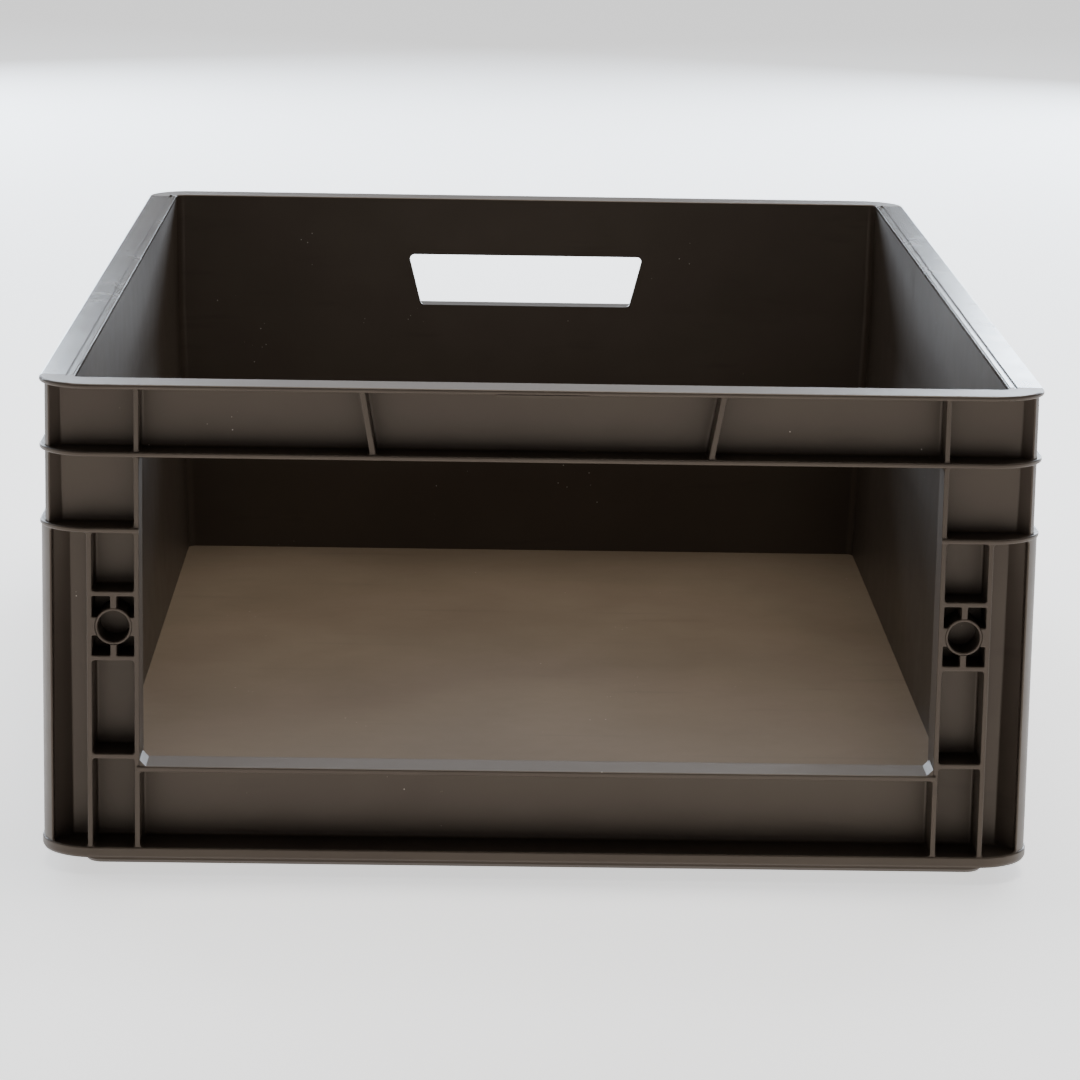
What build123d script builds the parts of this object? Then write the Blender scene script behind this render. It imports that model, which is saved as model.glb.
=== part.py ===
from build123d import *
import math
import os

# Rigid stacking crate on a 400 x 600 footprint, with a picking opening in the front short side
# and a hand grip in the rear short side.  Millimetres.  +Z is up, the front faces -Y, and the
# origin is the centre of the footprint on the ground.

# Overall size
WIDTH = 400.0                # across the front, along X
DEPTH = 600.0                # front to rear, along Y
HEIGHT = 200.0               # ground to rim
CORNER_R = 22.0              # plan radius of the rim, the rings and the base flange

# Levels of the bands
FOOT_HEIGHT = 7.0            # ground to the underside of the base
FLANGE_THICK = 4.5           # base flange
FLOOR_THICK = 3.6            # floor panel
RIM_THICK = 2.0              # rim plate
RING_THICK = 2.0             # stiffening rings
HEADER_HEIGHT = 25.0         # clear height between the rim and the upper ring
GRIP_BAND = 28.6             # clear height between the upper and the lower ring
SILL_HEIGHT = 45.2           # ground to the top of the front sill
SILL_THICK = 2.3             # ledge on top of the sill

# Walls
WALL = 2.4                   # wall thickness
SIDE_INSET_TOP = 14.1        # inner face of a long wall, in from the footprint, at the rim
SIDE_INSET_MID = 14.8        # the same at the lower ring
SIDE_INSET_FLOOR = 20.9      # the same at the floor
END_INSET_TOP = 17.0         # inner face of a short wall, in from the footprint, at the rim
END_INSET_MID = 17.6         # the same at the lower ring
END_INSET_FLOOR = 22.4       # the same at the floor
INNER_R = 4.0                # upright corners of the inside

# Ribs
RIB = 2.0                    # rib and shelf thickness
RIB_RECESS = 1.2             # rib tips behind the rings, above the lower ring
SKIN_RECESS = 0.6            # rib tips and corner skins behind the flange, below the lower ring
SKIN = 2.2                   # corner skin thickness
ROOT_R = 1.2                 # fillet at the foot of ribs and shelves
TIP_R = 0.5                  # round on rib tips
EDGE_R = 0.7                 # round on the edges of rings and rim

# Corner posts, as distances in from the long side of the footprint
RIB1_IN = 4.8                # inner face of the rib on the corner, in the upper bands
RIB1_IN_LOW = 5.8            # the same under the lower ring
RIB2_IN = 21.2               # centre of the second rib
RIB3_IN = 40.0               # centre of the third rib, whose inner face is the jamb
SIDE_RIB_IN = 54.0           # centre of the first rib on the long side, in from the short side
RIB1_TIP_END = 10.4          # where the corner rib meets the upper corner web, in from the short side
RIB1_SIDE = 2.4              # side edge of the corner rib, in from the long side
RIB1_SIDE_END = 13.6         # the same edge, in from the short side
POST_WEB_START = 12.0        # where the lower corner web turns, in from the short side
POST_WEB_END = 12.5          # where it meets the wall, in from the long side
POST_VOID_RISE = 0.8         # slope in plan of the void behind the corner skin
POST_VOID_IN = 2.8           # void behind the corner skin, in from the long side
POST_VOID_START = 22.0       # start of that void, in from the short side
POST_VOID_BEND = (9.0, 19.0)  # its bend, in from the long side and from the short side

# Shelves in the corner posts, as heights of their centres
SHELF_BOSS_TOP = 115.7
SHELF_BOSS_LOW = 89.5
SHELF_LOW = 49.1

# Pin sockets
SOCKET_IN = 30.8             # axis, in from the long side
SOCKET_Z = 102.4             # axis height
SOCKET_BORE_R = 6.35
SOCKET_WALL = 1.15           # wall of the tube
SOCKET_DEPTH = 14.5          # depth of the bore
SOCKET_RECESS = 0.8          # mouth of the tube behind the flange
WEB_UPRIGHT = 2.5            # webs above and below the tube
WEB_LEVEL = 7.6              # webs on both sides of the tube
CELL_R = 0.6                 # corners of the four cells round a tube

# Slanted ribs of the header bands
SLANT_TOP = 71.2             # centre line from the middle, at the rim
SLANT_LOW = 66.8             # the same at the upper ring
SLANT_RIB = 2.4

# Hand grip
GRIP_TOP_HALF = 62.4
GRIP_LOW_HALF = 55.5
GRIP_TOP_GAP = 1.0           # under the upper ring
GRIP_LOW_GAP = 0.6           # above the lower ring
GRIP_R = 2.5

# Upright ribs on the long sides, as distances from the middle of the side
SIDE_RIBS_UPPER = (110.0, 155.0, 214.0)
SIDE_RIBS_LOWER = (110.0, 214.0)

# Rim
RIM_GROOVE_IN = 10.5         # groove in the long rims, in from the footprint
RIM_LOW_R = 0.9              # lower edge of the rim
RIM_GROOVE_WIDE = 1.6
RIM_GROOVE_DEEP = 0.8
RIM_GROOVE_END = 20.0        # ends of the groove, in from the short side

# Front details
SILL_ROUND = 5.0             # inner edge of the sill
SILL_FACET = 2.5             # facets where the sill meets the jambs
LIP_HALF = 18.0              # small lip under the middle of the front rim
LIP_DROP = 1.3
LIP_THICK = 2.0

# Base
FOOT_INSET = 16.5            # stacking foot, in from the footprint
FOOT_WALL = 3.0
FOOT_R = 8.0
FOOT_CHAMFER = 1.5
BASE_RIB_LIFT = 2.0          # base ribs above the ground
BASE_RIBS_ACROSS = 7         # ribs that run along X
BASE_RIBS_ALONG = 4          # ribs that run along Y

# Margin by which cutting and trimming solids run past what they cut
PAST = 10.0

# How close a point must be to lie on an outline or a joint, and where along an edge that is tried
ON_IT = 0.01
ALONG_EDGE = (0.05, 0.5, 0.95)

# Levels worked out from the above
FLANGE_TOP = FOOT_HEIGHT + FLANGE_THICK
FLOOR_TOP = FOOT_HEIGHT + FLOOR_THICK
RIM_LOW = HEIGHT - RIM_THICK
LEFT = -WIDTH / 2
FRONT = -DEPTH / 2
RING1_TOP = RIM_LOW - HEADER_HEIGHT
RING1_LOW = RING1_TOP - RING_THICK
RING2_TOP = RING1_LOW - GRIP_BAND
RING2_LOW = RING2_TOP - RING_THICK
RING2_MID = RING2_TOP - RING_THICK / 2
SILL_LOW = SILL_HEIGHT - SILL_THICK
SOCKET_TUBE_R = SOCKET_BORE_R + SOCKET_WALL
JAMB = WIDTH / 2 - RIB3_IN - RIB / 2
POST_EDGE = WIDTH / 2 - RIB3_IN
SIDE_EDGE = DEPTH / 2 - SIDE_RIB_IN


def block(x_low, x_high, y_low, y_high, z_low, z_high):
    """A box from its lowest to its highest corner."""
    size = Box(x_high - x_low, y_high - y_low, z_high - z_low)
    return Pos((x_low + x_high) / 2, (y_low + y_high) / 2, (z_low + z_high) / 2) * size


def outline(inset, z_low, z_high):
    """The footprint, drawn in by inset, as a prism."""
    plan = RectangleRounded(WIDTH - 2 * inset, DEPTH - 2 * inset, CORNER_R - inset)
    return Pos(0, 0, z_low) * extrude(plan, z_high - z_low)


def side_inset(z):
    """Inner face of a long wall at height z, in from the footprint."""
    if z < RING2_LOW:
        share = (z - FLOOR_TOP) / (RING2_LOW - FLOOR_TOP)
        return SIDE_INSET_FLOOR + share * (SIDE_INSET_MID - SIDE_INSET_FLOOR)
    share = (z - RING2_LOW) / (HEIGHT - RING2_LOW)
    return SIDE_INSET_MID + share * (SIDE_INSET_TOP - SIDE_INSET_MID)


def end_inset(z):
    """Inner face of a short wall at height z, in from the footprint."""
    if z < RING2_LOW:
        share = (z - FLOOR_TOP) / (RING2_LOW - FLOOR_TOP)
        return END_INSET_FLOOR + share * (END_INSET_MID - END_INSET_FLOOR)
    share = (z - RING2_LOW) / (HEIGHT - RING2_LOW)
    return END_INSET_MID + share * (END_INSET_TOP - END_INSET_MID)


def inner_section(z):
    """Plan section of the inside at height z."""
    plan = RectangleRounded(WIDTH - 2 * side_inset(z), DEPTH - 2 * end_inset(z), INNER_R)
    return Pos(0, 0, z) * plan


def rounded_plate(z_low, thick, top_r, low_r):
    """A plate over the whole footprint, with its outer edges rounded."""
    plate = outline(0, z_low, z_low + thick)
    plate = fillet(plate.faces().sort_by(Axis.Z)[-1].edges(), top_r)
    return fillet(plate.faces().sort_by(Axis.Z)[0].edges(), low_r)


def outline_gap(point, inset):
    """How far a point is outside the footprint drawn in by inset; negative inside it."""
    radius = CORNER_R - inset
    across = abs(point.X) - (WIDTH / 2 - inset - radius)
    along = abs(point.Y) - (DEPTH / 2 - inset - radius)
    outside = math.hypot(max(across, 0), max(along, 0))
    return outside + min(max(across, along), 0) - radius


def bay(z_low, low_corners, z_high, high_corners):
    """Space between ribs, from its plan at two heights, with rounded roots.

    Corners are measured in from the left side and in from the front.
    """
    sections = []
    for z, corners in ((z_low, low_corners), (z_high, high_corners)):
        points = [(x_in - WIDTH / 2, y_in - DEPTH / 2, z) for x_in, y_in in corners]
        sections.append(make_face(Polyline(*points, close=True)))
    space = loft(sections)
    roots = []
    for edge in space.edges():
        reaches_in = min(outline_gap(edge @ 0, 0), outline_gap(edge @ 1, 0)) < 0
        if reaches_in and edge.center().Z < RIM_LOW - TIP_R:
            roots.append(edge)
    return fillet(roots, ROOT_R)


def front_bay(z_low, x_low, z_high, x_high):
    """Bay in a short side: x_low and x_high hold its two flanks at the two heights."""
    sections = []
    for z, flanks in ((z_low, x_low), (z_high, x_high)):
        back = end_inset(z) - WALL
        left, right = flanks
        sections.append([(left, -PAST), (left, back), (right, back), (right, -PAST)])
    return bay(z_low, sections[0], z_high, sections[1])


def side_bay(z_low, y_low, z_high, y_high):
    """Bay in the left side: y_low and y_high hold its two flanks at the two heights."""
    sections = []
    for z, flanks in ((z_low, y_low), (z_high, y_high)):
        back = side_inset(z) - WALL
        near, far = flanks
        sections.append([(-PAST, near), (back, near), (back, far), (-PAST, far)])
    return bay(z_low, sections[0], z_high, sections[1])


def rounded_tips(solid, inset, planes):
    """Round the mouths of the bays on one outline, except edges that lie on the given planes.

    planes holds an axis number, 0 to 2, and the coordinate of each joint with a neighbour.
    """
    tips = []
    for edge in solid.edges():
        points = [tuple(edge @ t) for t in ALONG_EDGE]
        on_outline = all(abs(outline_gap(Vector(*point), inset)) < ON_IT for point in points)
        on_plane = any(
            all(abs(point[axis] - place) < ON_IT for point in points) for axis, place in planes)
        if on_outline and not on_plane:
            tips.append(edge)
    return fillet(tips, TIP_R)


def trim(solid, x_low, x_high, y_low, y_high, z_low, z_high):
    """The stretch of a full-footprint solid inside a box."""
    return solid & block(x_low, x_high, y_low, y_high, z_low, z_high)


CAVITY = (
    loft([inner_section(FLOOR_TOP), inner_section(RING2_LOW)])
    + loft([inner_section(RING2_LOW), inner_section(HEIGHT + PAST)])
    + extrude(inner_section(FLOOR_TOP), -FLOOR_TOP)
)
RIM_PLATE = rounded_plate(RIM_LOW, RIM_THICK, RIM_LOW_R, EDGE_R)
RING1_PLATE = rounded_plate(RING1_LOW, RING_THICK, EDGE_R, EDGE_R)
RING2_PLATE = rounded_plate(RING2_LOW, RING_THICK, EDGE_R, EDGE_R)
FLANGE_PLATE = rounded_plate(FOOT_HEIGHT, FLANGE_THICK, EDGE_R, 2 * EDGE_R)


def upper_corner_front(z):
    """Plan of an upper corner bay that opens to the short side."""
    back = end_inset(z) - WALL
    flank = RIB3_IN - RIB / 2
    bend = RIB1_IN + back - RIB1_TIP_END
    return [(flank, -PAST), (flank, back), (bend, back), (RIB1_IN, RIB1_TIP_END), (RIB1_IN, -PAST)]


def upper_corner_side(z):
    """Plan of an upper corner bay that opens to the long side."""
    back = side_inset(z) - WALL
    flank = SIDE_RIB_IN - RIB / 2
    bend = RIB1_SIDE_END + back - RIB1_SIDE
    start = (-PAST, RIB1_SIDE_END)
    return [(-PAST, flank), (back, flank), (back, bend), (RIB1_SIDE, RIB1_SIDE_END), start]


def lower_corner(z):
    """Plan of the tall bay between the corner rib and the second rib."""
    back = end_inset(z) - WALL
    flank = RIB2_IN - RIB / 2
    turn = (RIB1_IN_LOW, POST_WEB_START)
    return [(flank, -PAST), (flank, back), (POST_WEB_END, back), turn, (RIB1_IN_LOW, -PAST)]


def post_void():
    """Void behind the skin of a corner post, open underneath."""
    sections = []
    for z in (0.0, RING2_LOW - SKIN):
        back = side_inset(z) - WALL
        flank = SIDE_RIB_IN - RIB / 2
        bend_x, bend_y = POST_VOID_BEND
        corner_y = bend_y + (back - bend_x) * POST_VOID_RISE
        corners = [(POST_VOID_IN, flank), (back, flank), (back, corner_y), POST_VOID_BEND,
                   (POST_VOID_IN, POST_VOID_START)]
        points = [(LEFT + x_in, FRONT + y_in, z) for x_in, y_in in corners]
        sections.append(make_face(Polyline(*points, close=True)))
    return loft(sections)


def socket_cells():
    """The four cells round a pin socket, left after its webs."""
    cells = []
    depth = end_inset(SOCKET_Z) - WALL
    tube = Pos(LEFT + SOCKET_IN, 0, SOCKET_Z) * Rot(90, 0, 0) * Cylinder(SOCKET_TUBE_R, 2 * DEPTH)
    x_flanks = ((RIB2_IN + RIB / 2, SOCKET_IN - WEB_UPRIGHT / 2),
                (SOCKET_IN + WEB_UPRIGHT / 2, RIB3_IN - RIB / 2))
    z_flanks = ((SHELF_BOSS_LOW + RIB / 2, SOCKET_Z - WEB_LEVEL / 2),
                (SOCKET_Z + WEB_LEVEL / 2, SHELF_BOSS_TOP - RIB / 2))
    for x_low, x_high in x_flanks:
        for z_low, z_high in z_flanks:
            cell = block(LEFT + x_low, LEFT + x_high, FRONT - PAST, FRONT + depth, z_low, z_high) - tube
            cells.append(fillet(cell.edges().filter_by(Axis.Y), CELL_R))
    return cells


def socket_axis(y_in):
    """Placement on the axis of the front left pin socket, looking out of its mouth."""
    return Plane((LEFT + SOCKET_IN, FRONT + y_in, SOCKET_Z), z_dir=(0, -1, 0))


def socket_seat():
    """Space that a pin socket takes in its corner post."""
    depth = end_inset(SOCKET_Z) - WALL
    return extrude(socket_axis(depth) * Circle(SOCKET_TUBE_R), depth + PAST)


def pin_socket():
    """Round blind socket in the front left corner post."""
    depth = end_inset(SOCKET_Z) - WALL
    tube = extrude(socket_axis(depth) * Circle(SOCKET_TUBE_R), depth - SOCKET_RECESS)
    bore = extrude(socket_axis(SOCKET_RECESS + SOCKET_DEPTH) * Circle(SOCKET_BORE_R), depth + PAST)
    tube -= bore
    mouth = tube.faces().sort_by(Axis.Y)[0]
    return fillet(mouth.edges(), TIP_R)


def corner_post(jamb):
    """Left corner post, drawn at the front, with or without the jamb of the picking opening."""
    x_high = LEFT + RIB3_IN
    y_high = FRONT + SIDE_RIB_IN
    lower = outline(SKIN_RECESS, FOOT_HEIGHT, RING2_MID)
    upper = outline(RIB_RECESS, RING2_MID, RIM_LOW)
    plates = RING1_PLATE + RING2_PLATE + FLANGE_PLATE
    post_box = block(LEFT, x_high, FRONT, y_high, 0, HEIGHT)
    if jamb:
        post_box += block(LEFT, x_high + RIB / 2, FRONT, y_high, SILL_HEIGHT, RING1_LOW)

    bays = [bay(RING1_TOP, upper_corner_front(RING1_TOP), RIM_LOW, upper_corner_front(RIM_LOW)),
            bay(RING1_TOP, upper_corner_side(RING1_TOP), RIM_LOW, upper_corner_side(RIM_LOW)),
            bay(RING2_TOP, upper_corner_front(RING2_TOP), RING1_LOW, upper_corner_front(RING1_LOW)),
            bay(RING2_TOP, upper_corner_side(RING2_TOP), RING1_LOW, upper_corner_side(RING1_LOW)),
            bay(FLANGE_TOP, lower_corner(FLANGE_TOP), RING2_LOW, lower_corner(RING2_LOW))]
    column = (RIB2_IN + RIB / 2, RIB3_IN - RIB / 2)
    for z_low, z_high in ((FLANGE_TOP, SHELF_LOW - RIB / 2),
                          (SHELF_LOW + RIB / 2, SHELF_BOSS_LOW - RIB / 2),
                          (SHELF_BOSS_TOP + RIB / 2, RING2_LOW)):
        bays.append(front_bay(z_low, column, z_high, column))

    post = ((lower + upper) & post_box) - CAVITY - bays - socket_cells()
    joints = [(0, x_high), (1, y_high), (2, FOOT_HEIGHT), (2, RING2_MID), (2, RIM_LOW)]
    post = rounded_tips(post, SKIN_RECESS, joints)
    post = rounded_tips(post, RIB_RECESS, joints)
    post += (plates & post_box) - CAVITY
    return post - post_void() - socket_seat()


def bays_between(make_bay, z_low, ribs_low, z_high, ribs_high):
    """Bays between neighbouring ribs; each rib is its centre and its thickness at a height."""
    bays = []
    for place in range(len(ribs_low) - 1):
        sections = []
        for ribs in (ribs_low, ribs_high):
            near, near_thick = ribs[place]
            far, far_thick = ribs[place + 1]
            sections.append((near + near_thick / 2, far - far_thick / 2))
        bays.append(make_bay(z_low, sections[0], z_high, sections[1]))
    return bays


def slant(z):
    """Centre of a slanted rib from the middle of its side, at height z."""
    lean = (SLANT_TOP - SLANT_LOW) / HEADER_HEIGHT
    return SLANT_LOW + (z - RING1_TOP) * lean


def ribs_at(z, middle, end_rib, inner_ribs):
    """Ribs of an upper band at height z: the end ribs, upright ribs and the slanted pair."""
    left = [(middle - end_rib, RIB)]
    left += [(middle - place, RIB) for place in sorted(inner_ribs, reverse=True)]
    left.append((middle - slant(z), SLANT_RIB))
    right = [(2 * middle - place, thick) for place, thick in reversed(left)]
    return left + right


def upper_bays(make_bay, middle, end_rib, inner_ribs, bands):
    """All bays of the upper bands of one side."""
    bays = []
    for z_low, z_high in bands:
        ribs_low = ribs_at(z_low, middle, end_rib, inner_ribs)
        ribs_high = ribs_at(z_high, middle, end_rib, inner_ribs)
        bays += bays_between(make_bay, z_low, ribs_low, z_high, ribs_high)
    return bays


def side_wall_upper():
    """Left long wall between the lower ring and the rim."""
    wall_box = block(LEFT, LEFT + SIDE_INSET_FLOOR, -SIDE_EDGE, SIDE_EDGE, RING2_MID, RIM_LOW)
    wall = (outline(RIB_RECESS, RING2_MID, RIM_LOW) & wall_box) - CAVITY
    bands = ((RING2_TOP, RING1_LOW), (RING1_TOP, RIM_LOW))
    wall -= upper_bays(side_bay, DEPTH / 2, SIDE_EDGE, SIDE_RIBS_UPPER, bands)
    joints = [(1, -SIDE_EDGE), (1, SIDE_EDGE), (2, RING2_MID), (2, RIM_LOW)]
    wall = rounded_tips(wall, RIB_RECESS, joints)
    return wall + (((RING1_PLATE + RING2_PLATE) & wall_box) - CAVITY)


def side_wall_lower():
    """Left long wall between the base flange and the lower ring."""
    wall_box = block(LEFT, LEFT + SIDE_INSET_FLOOR + PAST, -SIDE_EDGE, SIDE_EDGE, FOOT_HEIGHT, RING2_MID)
    wall = (outline(SKIN_RECESS, FOOT_HEIGHT, RING2_MID) & wall_box) - CAVITY
    middle = DEPTH / 2
    half = [SIDE_EDGE] + sorted(SIDE_RIBS_LOWER, reverse=True)
    ribs = [(middle - place, RIB) for place in half] + [(middle + place, RIB) for place in reversed(half)]
    wall -= bays_between(side_bay, FLANGE_TOP, ribs[1:-1], RING2_LOW, ribs[1:-1])
    levels = (FLANGE_TOP - RIB / 2, SHELF_LOW, SHELF_BOSS_LOW, SHELF_BOSS_TOP, RING2_LOW + RIB / 2)
    for column in (ribs[:2], ribs[-2:]):
        for shelf, shelf_above in zip(levels[:-1], levels[1:]):
            z_low = shelf + RIB / 2
            z_high = shelf_above - RIB / 2
            wall -= bays_between(side_bay, z_low, column, z_high, column)
    joints = [(1, -SIDE_EDGE), (1, SIDE_EDGE), (2, FOOT_HEIGHT), (2, RING2_MID)]
    wall = rounded_tips(wall, SKIN_RECESS, joints)
    return wall + (((RING2_PLATE + FLANGE_PLATE) & wall_box) - CAVITY)


def front_header():
    """Front band over the picking opening, with the upper ring as its lower edge."""
    header_box = block(-POST_EDGE, POST_EDGE, FRONT, FRONT + END_INSET_FLOOR, RING1_LOW, RIM_LOW)
    header = (outline(RIB_RECESS, RING1_LOW, RIM_LOW) & header_box) - CAVITY
    header -= upper_bays(front_bay, WIDTH / 2, POST_EDGE, (), ((RING1_TOP, RIM_LOW),))
    joints = [(0, -POST_EDGE), (0, POST_EDGE), (2, RING1_LOW), (2, RIM_LOW)]
    header = rounded_tips(header, RIB_RECESS, joints)
    return header + ((RING1_PLATE & header_box) - CAVITY)


def front_sill():
    """Low front wall under the picking opening, with its ledge."""
    sill_box = block(-POST_EDGE, POST_EDGE, FRONT, 0, FOOT_HEIGHT, SILL_HEIGHT)
    sill = (outline(SKIN_RECESS, FOOT_HEIGHT, SILL_LOW + SILL_THICK / 2) & sill_box) - CAVITY
    flanks = (RIB3_IN + RIB / 2, WIDTH - RIB3_IN - RIB / 2)
    sill -= front_bay(FLANGE_TOP, flanks, SILL_LOW, flanks)
    ledge = rounded_plate(SILL_LOW, SILL_THICK, EDGE_R, EDGE_R)
    sill += ((FLANGE_PLATE + ledge) & sill_box) - CAVITY
    top = sill.faces().sort_by(Axis.Z)[-1]
    sill = fillet(top.edges().sort_by(Axis.Y)[-1], SILL_ROUND)
    for side in (-1, 1):
        corners = [(side * JAMB, SILL_HEIGHT), (side * (JAMB - SILL_FACET), SILL_HEIGHT),
                   (side * JAMB, SILL_HEIGHT + SILL_FACET)]
        facet = Plane((0, FRONT + EDGE_R, 0), x_dir=(1, 0, 0), z_dir=(0, -1, 0)) * make_face(
            Polyline(*corners, close=True))
        sill += extrude(facet, -(end_inset(SILL_HEIGHT) - SILL_ROUND - EDGE_R))
    return sill


def rear_wall_upper():
    """Rear wall between the lower ring and the rim, with the hand grip; drawn at the front."""
    wall_box = block(-POST_EDGE, POST_EDGE, FRONT, FRONT + END_INSET_FLOOR, RING2_MID, RIM_LOW)
    wall = (outline(RIB_RECESS, RING2_MID, RIM_LOW) & wall_box) - CAVITY
    bands = ((RING2_TOP, RING1_LOW), (RING1_TOP, RIM_LOW))
    wall -= upper_bays(front_bay, WIDTH / 2, POST_EDGE, (), bands)
    joints = [(0, -POST_EDGE), (0, POST_EDGE), (2, RING2_MID), (2, RIM_LOW)]
    wall = rounded_tips(wall, RIB_RECESS, joints)
    wall += ((RING1_PLATE + RING2_PLATE) & wall_box) - CAVITY
    z_low = RING2_TOP + GRIP_LOW_GAP
    z_high = RING1_LOW - GRIP_TOP_GAP
    corners = [(-GRIP_LOW_HALF, z_low), (GRIP_LOW_HALF, z_low),
               (GRIP_TOP_HALF, z_high), (-GRIP_TOP_HALF, z_high)]
    grip = fillet(make_face(Polyline(*corners, close=True)).vertices(), GRIP_R)
    plane = Plane((0, FRONT + RIB_RECESS, 0), x_dir=(1, 0, 0), z_dir=(0, -1, 0))
    return wall - extrude(plane * grip, -END_INSET_FLOOR)


def rear_wall_lower():
    """Rear wall between the base flange and the lower ring; drawn at the front."""
    wall_box = block(-POST_EDGE, POST_EDGE, FRONT, 0, FOOT_HEIGHT, RING2_MID)
    wall = (outline(SKIN_RECESS, FOOT_HEIGHT, RING2_MID) & wall_box) - CAVITY
    flanks = (RIB3_IN + RIB / 2, WIDTH - RIB3_IN - RIB / 2)
    wall -= front_bay(FLANGE_TOP, flanks, RING2_LOW, flanks)
    joints = [(0, -POST_EDGE), (0, POST_EDGE), (2, FOOT_HEIGHT), (2, RING2_MID)]
    wall = rounded_tips(wall, SKIN_RECESS, joints)
    return wall + (((RING2_PLATE + FLANGE_PLATE) & wall_box) - CAVITY)


def rims():
    """The four rims, from one plate with grooves along its long sides."""
    plate = RIM_PLATE - CAVITY
    inner = plate.faces().sort_by(Axis.Z)[-1].inner_wires()[0].edges()
    plate = fillet(inner, EDGE_R)
    for side in (-1, 1):
        middle = side * (WIDTH / 2 - RIM_GROOVE_IN - RIM_GROOVE_WIDE / 2)
        groove = Box(RIM_GROOVE_WIDE, DEPTH - 2 * RIM_GROOVE_END, 2 * RIM_GROOVE_DEEP)
        plate -= Pos(middle, 0, HEIGHT) * groove
    end = DEPTH / 2 - CORNER_R - EDGE_R
    half = WIDTH / 2
    return {"rim_front": trim(plate, -half, half, -DEPTH / 2, -end, 0, HEIGHT),
            "rim_rear": trim(plate, -half, half, end, DEPTH / 2, 0, HEIGHT),
            "rim_left": trim(plate, -half, 0, -end, end, 0, HEIGHT),
            "rim_right": trim(plate, 0, half, -end, end, 0, HEIGHT)}


def front_lip():
    """Small lip under the middle of the front rim."""
    return block(-LIP_HALF, LIP_HALF, FRONT, FRONT + LIP_THICK, RIM_LOW - LIP_DROP, RIM_LOW)


def floor_panel():
    """Flat floor inside the walls."""
    return extrude(inner_section(FLOOR_TOP), -FLOOR_THICK)


def foot_plan(inset):
    """Plan of the stacking foot, drawn in by inset from its outer face."""
    size = 2 * (FOOT_INSET + inset)
    return RectangleRounded(WIDTH - size, DEPTH - size, FOOT_R - inset)


def stacking_foot():
    """Ring under the base that drops inside the rim of the crate below."""
    foot = extrude(foot_plan(0), FOOT_HEIGHT)
    foot = chamfer(foot.faces().sort_by(Axis.Z)[0].edges(), FOOT_CHAMFER)
    return foot - extrude(foot_plan(FOOT_WALL), FOOT_HEIGHT)


def base_ribs():
    """Grid of ribs under the floor, inside the stacking foot."""
    inner_x = WIDTH - 2 * (FOOT_INSET + FOOT_WALL)
    inner_y = DEPTH - 2 * (FOOT_INSET + FOOT_WALL)
    height = FOOT_HEIGHT - BASE_RIB_LIFT
    level = BASE_RIB_LIFT + height / 2
    ribs = []
    for count in range(1, BASE_RIBS_ACROSS + 1):
        place = inner_y * (count / (BASE_RIBS_ACROSS + 1) - 0.5)
        ribs.append(Pos(0, place, level) * Box(inner_x, RIB, height))
    for count in range(1, BASE_RIBS_ALONG + 1):
        place = inner_x * (count / (BASE_RIBS_ALONG + 1) - 0.5)
        ribs.append(Pos(place, 0, level) * Box(RIB, inner_y, height))
    return Part() + ribs


def to_right(solid):
    """Mirror a left piece to the right."""
    return mirror(solid, about=Plane.YZ)


def to_rear(solid):
    """Mirror a front piece to the rear."""
    return mirror(solid, about=Plane.XZ)


front_post = corner_post(jamb=True)
rear_post = to_rear(corner_post(jamb=False))
socket = pin_socket()
wall_upper = side_wall_upper()
wall_lower = side_wall_lower()

nodes = rims()
nodes["corner_post_front_left"] = front_post
nodes["corner_post_front_right"] = to_right(front_post)
nodes["corner_post_rear_left"] = rear_post
nodes["corner_post_rear_right"] = to_right(rear_post)
nodes["pin_socket_front_left"] = socket
nodes["pin_socket_front_right"] = to_right(socket)
nodes["pin_socket_rear_left"] = to_rear(socket)
nodes["pin_socket_rear_right"] = to_right(to_rear(socket))
nodes["side_wall_upper_left"] = wall_upper
nodes["side_wall_upper_right"] = to_right(wall_upper)
nodes["side_wall_lower_left"] = wall_lower
nodes["side_wall_lower_right"] = to_right(wall_lower)
nodes["front_header"] = front_header()
nodes["front_sill"] = front_sill()
nodes["front_lip"] = front_lip()
nodes["rear_wall_upper"] = to_rear(rear_wall_upper())
nodes["rear_wall_lower"] = to_rear(rear_wall_lower())
nodes["floor_panel"] = floor_panel()
nodes["stacking_foot"] = stacking_foot()
nodes["base_ribs"] = base_ribs()

os.makedirs("parts", exist_ok=True)
for name, solid in nodes.items():
    export_step(solid, f"parts/{name}.step")
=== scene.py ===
import math

import bpy
from mathutils import Matrix, Vector

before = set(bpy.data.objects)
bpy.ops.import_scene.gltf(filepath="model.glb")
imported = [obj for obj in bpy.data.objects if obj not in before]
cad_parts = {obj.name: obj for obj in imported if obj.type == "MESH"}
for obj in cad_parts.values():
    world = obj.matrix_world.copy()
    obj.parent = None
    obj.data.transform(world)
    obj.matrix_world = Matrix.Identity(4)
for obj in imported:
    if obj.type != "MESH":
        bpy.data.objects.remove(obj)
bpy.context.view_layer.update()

# Looks of the stacking crate.  Metres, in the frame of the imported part.

# Camera
CAMERA_PLACE = (-0.0291, -1.8809, 0.4790)
CAMERA_PITCH = 12.1          # degrees below the horizon
CAMERA_YAW = 1.04            # degrees to the right
CAMERA_ROLL = -0.99          # degrees
CAMERA_LENS = 136.25         # millimetres on a 36 mm sensor
SENSOR = 36.0

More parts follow.
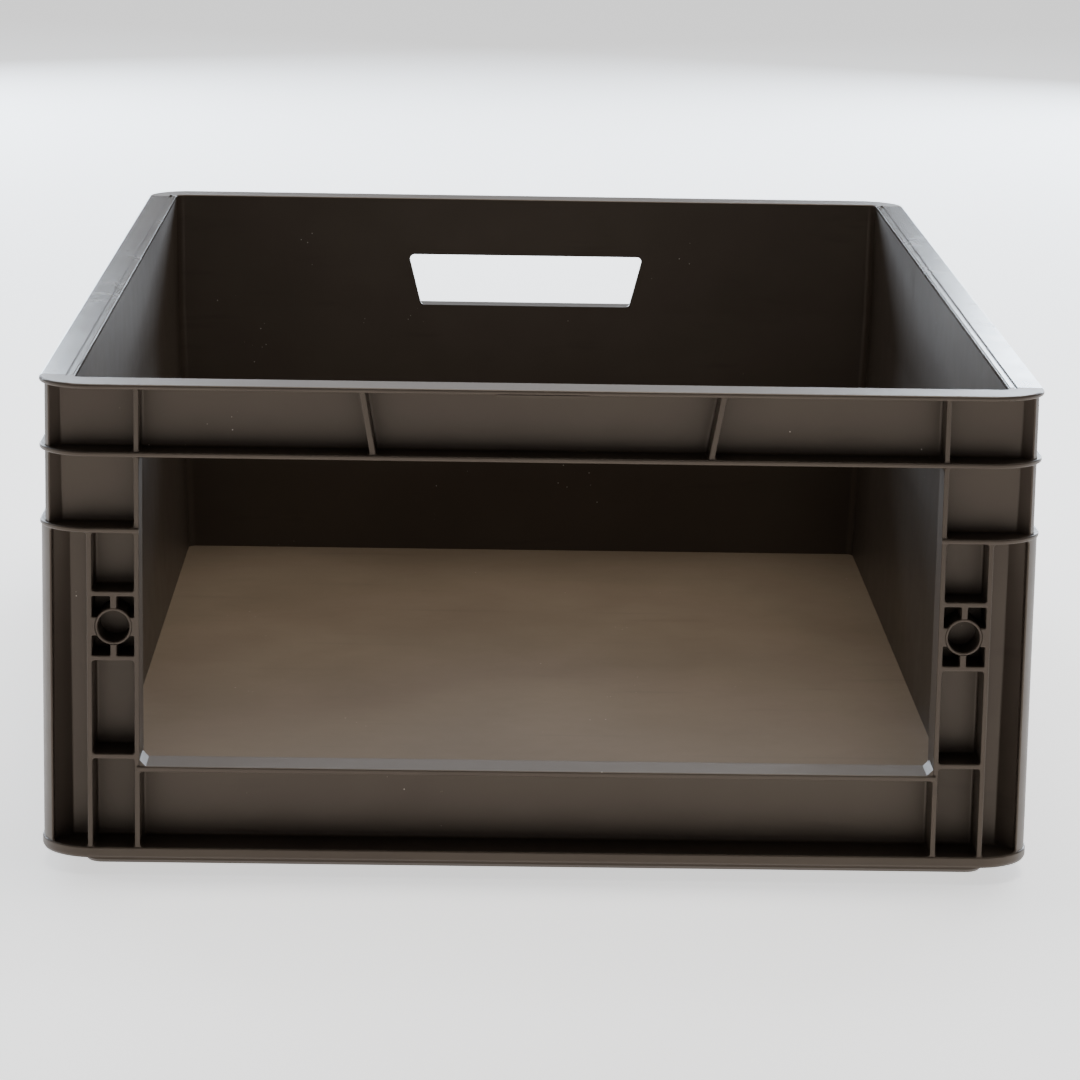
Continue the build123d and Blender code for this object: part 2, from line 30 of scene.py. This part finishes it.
# Lights: place, aim, size in metres, power in watts, colour
LIGHTS = {
    "softbox_above": ((0.2, 0.3, 1.9), (0.0, 0.0, 0.1), (1.6, 1.6), 44.0, (1.0, 0.97, 0.93)),
    "softbox_left": ((-1.5, 0.6, 1.1), (0.0, 0.0, 0.15), (0.9, 1.2), 5.0, (0.86, 0.93, 1.0)),
    "softbox_front": ((-0.5, -2.2, 1.3), (0.0, -0.3, 0.1), (1.2, 0.8), 0.8, (1.0, 0.96, 0.9)),
    "softbox_behind": ((0.3, 2.2, 1.4), (0.0, 0.3, 0.2), (2.4, 1.2), 12.0, (0.98, 0.98, 1.0)),
    "panel_rear_left": ((-1.25, 2.6, 0.75), (0.0, 0.0, 0.2), (1.5, 0.7), 80.0, (0.78, 0.88, 1.0)),
    "panel_rear_right": ((1.25, 2.6, 0.75), (0.0, 0.0, 0.2), (1.5, 0.7), 80.0, (0.78, 0.88, 1.0)),
}
WORLD_COLOUR = (0.98, 0.99, 1.0)
WORLD_STRENGTH = 0.10

# Floor: pale, with a faint even glow of its own
FLOOR_SIZE = 40.0
FLOOR_COLOUR = (0.97, 0.97, 0.97)
FLOOR_GLOW = 1.10
FLOOR_GLOW_COLOUR = (1.0, 1.0, 1.0)
FLOOR_ROUGHNESS = 0.9

# Plastic
BODY_COLOUR = (0.043, 0.032, 0.025)
BODY_LIGHT = (0.053, 0.041, 0.031)
# Floor panel: the same plastic as the body, painted lighter. This is painted top light standing in for
# the light falling on the crate's floor.
PANEL_PAINTED_LIT_COLOUR = (0.105, 0.077, 0.051)
PANEL_PAINTED_LIT_PALE = (0.129, 0.096, 0.065)
DUST_COLOUR = (0.55, 0.50, 0.43)
ROUGHNESS = 0.42
RIM_ROUGHNESS = 0.26
ROUGHNESS_SPREAD = 0.10
WARM_SHEEN = (1.0, 0.84, 0.70)
PLAIN_SHEEN = (1.0, 1.0, 1.0)
REFRACTION = 1.49

# Noise over the plastic: scale per metre and detail, then the range that is used
MOTTLE = (9.0, 4.0)
MOTTLE_RANGE = (0.35, 0.68)
FLOW = (1.0, 5.0)
FLOW_RANGE = (0.60, 0.78)
STREAK_SHADE = 0.86
DUST_PATCHES = (31.0, 1.0)
DUST_PATCH_RANGE = (0.66, 0.70)
DUST_DOT_RANGE = (0.085, 0.05)
ROUGH_PATCHES = (55.0, 3.0)
GRAIN = (1500.0, 2.0)
GRAIN_STRENGTH = 0.10
GRAIN_DEPTH = 0.00012
WAVE = (24.0, 2.0)
WAVE_STRENGTH = 0.35
WAVE_DEPTH = 0.0006
NOISE_ROUGHNESS = 0.55

# Stretch of the flow streaks along X, Y and Z, and dust dots per metre
BODY_STREAKS = (14.0, 14.0, 90.0)
PANEL_STREAKS = (8.0, 120.0, 8.0)
RIM_STREAKS = (14.0, 60.0, 14.0)
BODY_DUST = 260.0
PANEL_DUST = 210.0


def node(tree, kind, **values):
    """A shader node with its named sockets set."""
    made = tree.nodes.new(kind)
    for name, value in values.items():
        made.inputs[name.replace("_", " ")].default_value = value
    return made


def mix_colours(tree, factor, first, second):
    """Mix two colours by a factor socket."""
    made = tree.nodes.new("ShaderNodeMix")
    made.data_type = "RGBA"
    tree.links.new(factor, made.inputs["Factor"])
    for socket, value in ((made.inputs[6], first), (made.inputs[7], second)):
        if isinstance(value, bpy.types.NodeSocket):
            tree.links.new(value, socket)
        else:
            socket.default_value = (*value, 1.0)
    return made.outputs[2]


def ramp(tree, factor, low, high):
    """Map a factor so that low gives 0 and high gives 1."""
    made = node(tree, "ShaderNodeMapRange", From_Min=low, From_Max=high)
    tree.links.new(factor, made.inputs["Value"])
    return made.outputs["Result"]


def stretched(tree, coordinates, scale):
    """Object coordinates scaled by different amounts along X, Y and Z."""
    made = node(tree, "ShaderNodeMapping", Scale=scale)
    tree.links.new(coordinates, made.inputs["Vector"])
    return made.outputs["Vector"]


def noise(tree, vector, scale, detail):
    """Fractal noise over a vector socket."""
    made = node(tree, "ShaderNodeTexNoise", Scale=scale, Detail=detail, Roughness=NOISE_ROUGHNESS)
    tree.links.new(vector, made.inputs["Vector"])
    return made.outputs["Fac"]


def dust_mask(tree, place, dots):
    """Small dots, kept only inside a few patches."""
    cells = node(tree, "ShaderNodeTexVoronoi", Scale=dots)
    tree.links.new(place, cells.inputs["Vector"])
    both = tree.nodes.new("ShaderNodeMath")
    both.operation = "MULTIPLY"
    both.use_clamp = True
    tree.links.new(ramp(tree, cells.outputs["Distance"], *DUST_DOT_RANGE), both.inputs[0])
    tree.links.new(ramp(tree, noise(tree, place, *DUST_PATCHES), *DUST_PATCH_RANGE), both.inputs[1])
    return both.outputs[0]


def plastic_colour(tree, place, dark, light, streaks, dots):
    """Mottled colour with flow streaks and dust."""
    mottle = ramp(tree, noise(tree, place, *MOTTLE), *MOTTLE_RANGE)
    flow = ramp(tree, noise(tree, stretched(tree, place, streaks), *FLOW), *FLOW_RANGE)
    streak_colour = tuple(STREAK_SHADE * part for part in dark)
    colour = mix_colours(tree, mottle, dark, light)
    colour = mix_colours(tree, flow, colour, streak_colour)
    return mix_colours(tree, dust_mask(tree, place, dots), colour, DUST_COLOUR)


def plastic_normal(tree, place):
    """Fine grain over broad shallow waves."""
    broad = node(tree, "ShaderNodeBump", Strength=WAVE_STRENGTH, Distance=WAVE_DEPTH)
    fine = node(tree, "ShaderNodeBump", Strength=GRAIN_STRENGTH, Distance=GRAIN_DEPTH)
    tree.links.new(noise(tree, place, *WAVE), broad.inputs["Height"])
    tree.links.new(noise(tree, place, *GRAIN), fine.inputs["Height"])
    tree.links.new(broad.outputs["Normal"], fine.inputs["Normal"])
    return fine.outputs["Normal"]


def moulded_plastic(name, dark, light, streaks, dots, roughness, sheen):
    """Satin moulded plastic with mottling, flow streaks, fine grain and a few dust dots."""
    material = bpy.data.materials.new(name)
    material.use_nodes = True
    tree = material.node_tree
    shader = tree.nodes["Principled BSDF"]
    place = tree.nodes.new("ShaderNodeTexCoord").outputs["Object"]
    tree.links.new(plastic_colour(tree, place, dark, light, streaks, dots), shader.inputs["Base Color"])
    rough = node(tree, "ShaderNodeMapRange", To_Min=roughness - ROUGHNESS_SPREAD / 2,
                 To_Max=roughness + ROUGHNESS_SPREAD / 2)
    tree.links.new(noise(tree, place, *ROUGH_PATCHES), rough.inputs["Value"])
    tree.links.new(rough.outputs["Result"], shader.inputs["Roughness"])
    shader.inputs["IOR"].default_value = REFRACTION
    shader.inputs["Specular Tint"].default_value = (*sheen, 1.0)
    tree.links.new(plastic_normal(tree, place), shader.inputs["Normal"])
    return material


def dress_crate():
    """Give every node of the crate its plastic."""
    body = moulded_plastic(
        "taupe_body", BODY_COLOUR, BODY_LIGHT, BODY_STREAKS, BODY_DUST, ROUGHNESS, WARM_SHEEN)
    # The floor panel gets the painted-lighter colours, a painted top light on the crate's floor.
    panel = moulded_plastic(
        "taupe_floor_painted_top_light", PANEL_PAINTED_LIT_COLOUR, PANEL_PAINTED_LIT_PALE, PANEL_STREAKS, PANEL_DUST, ROUGHNESS, WARM_SHEEN)
    rim = moulded_plastic(
        "taupe_rim", BODY_COLOUR, BODY_LIGHT, RIM_STREAKS, BODY_DUST, RIM_ROUGHNESS, PLAIN_SHEEN)
    special = {"floor_panel": panel, "rim_left": rim, "rim_right": rim}
    for name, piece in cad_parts.items():
        piece.data.materials.clear()
        piece.data.materials.append(special.get(name, body))


def lay_floor():
    """Plain pale floor under the crate, with a faint glow."""
    half = FLOOR_SIZE / 2
    mesh = bpy.data.meshes.new("studio_floor")
    corners = [(-half, -half, 0), (half, -half, 0), (half, half, 0), (-half, half, 0)]
    mesh.from_pydata(corners, [], [(0, 1, 2, 3)])
    floor = bpy.data.objects.new("studio_floor", mesh)
    bpy.context.scene.collection.objects.link(floor)
    material = bpy.data.materials.new("studio_floor")
    material.use_nodes = True
    shader = material.node_tree.nodes["Principled BSDF"]
    shader.inputs["Base Color"].default_value = (*FLOOR_COLOUR, 1.0)
    shader.inputs["Roughness"].default_value = FLOOR_ROUGHNESS
    shader.inputs["Emission Color"].default_value = (*FLOOR_GLOW_COLOUR, 1.0)
    shader.inputs["Emission Strength"].default_value = FLOOR_GLOW
    mesh.materials.append(material)


def place_camera():
    """Camera at the viewing angle, long lens, no shift."""
    pitch = math.radians(CAMERA_PITCH)
    yaw = math.radians(CAMERA_YAW)
    roll = math.radians(CAMERA_ROLL)
    forward = Vector((math.sin(yaw) * math.cos(pitch), math.cos(yaw) * math.cos(pitch), -math.sin(pitch)))
    level_right = Vector((math.cos(yaw), -math.sin(yaw), 0.0))
    level_down = forward.cross(level_right)
    right = level_right * math.cos(roll) + level_down * math.sin(roll)
    down = -level_right * math.sin(roll) + level_down * math.cos(roll)
    turn = Matrix((right, -down, -forward)).transposed()
    data = bpy.data.cameras.new("camera")
    data.lens = CAMERA_LENS
    data.sensor_width = SENSOR
    camera = bpy.data.objects.new("camera", data)
    camera.matrix_world = Matrix.Translation(CAMERA_PLACE) @ turn.to_4x4()
    bpy.context.scene.collection.objects.link(camera)
    bpy.context.scene.camera = camera


def hang_lights():
    """Soft studio light from large boxes and a pale sky."""
    for name, (place, aim, size, power, colour) in LIGHTS.items():
        data = bpy.data.lights.new(name, "AREA")
        data.shape = "RECTANGLE"
        data.size, data.size_y = size
        data.energy = power
        data.color = colour
        light = bpy.data.objects.new(name, data)
        light.location = place
        light.rotation_euler = (Vector(aim) - Vector(place)).to_track_quat("-Z", "Y").to_euler()
        bpy.context.scene.collection.objects.link(light)
    world = bpy.data.worlds.new("studio")
    world.use_nodes = True
    sky = world.node_tree.nodes["Background"]
    sky.inputs["Color"].default_value = (*WORLD_COLOUR, 1.0)
    sky.inputs["Strength"].default_value = WORLD_STRENGTH
    bpy.context.scene.world = world


place_camera()
hang_lights()
lay_floor()
dress_crate()
